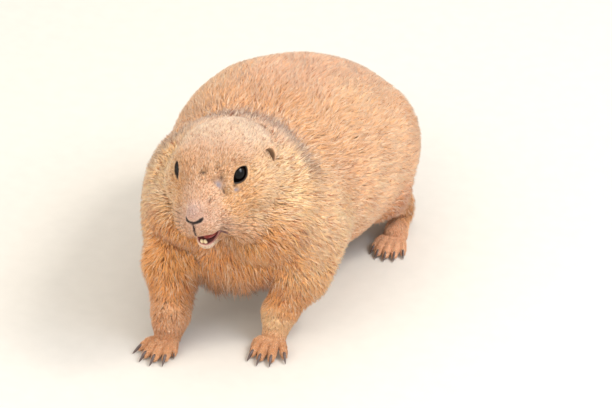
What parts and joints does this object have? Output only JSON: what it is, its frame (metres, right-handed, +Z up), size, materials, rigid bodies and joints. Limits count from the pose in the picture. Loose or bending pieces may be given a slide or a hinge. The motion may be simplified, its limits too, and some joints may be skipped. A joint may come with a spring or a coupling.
{
  "type": "prairie dog",
  "caption": "Still life-size model of a black-tailed prairie dog, crouched on its feet with its tail on the ground, low cupped ears, mouth slightly open",
  "frame": {"origin": "on the floor, under the middle of the model's bounding box", "axes": "+X is the animal's left, -Y is the way it faces (head at -Y, tail at +Y), +Z is up"},
  "size_m": [0.1258, 0.3022, 0.1208],
  "materials": {
    "fur_head": "short dense fur, pinkish buff with dark flecks",
    "fur_body": "dense fur, cinnamon buff with dark flecks",
    "fur_nape": "dense fur, grey-brown",
    "fur_leg": "short fur, orange buff",
    "fur_foot": "very short fur, pinkish buff, with dark horn claws",
    "fur_tail": "short fur with a dark brush",
    "ear_skin": "thin skin with very short hair",
    "eye_black": "wet gloss"
  },
  "bodies": {
    "root": {"head": "fur_head", "neck": "fur_nape", "torso": "fur_body", "tail": "fur_tail", "ear_left": "ear_skin", "ear_right": "ear_skin", "eye_left": "eye_black", "eye_right": "eye_black", "foreleg_left": "fur_leg", "foreleg_right": "fur_leg", "forefoot_left": "fur_foot", "forefoot_right": "fur_foot", "hindleg_left": "fur_leg", "hindleg_right": "fur_leg", "hindfoot_left": "fur_foot", "hindfoot_right": "fur_foot"}
  },
  "joints": []
}
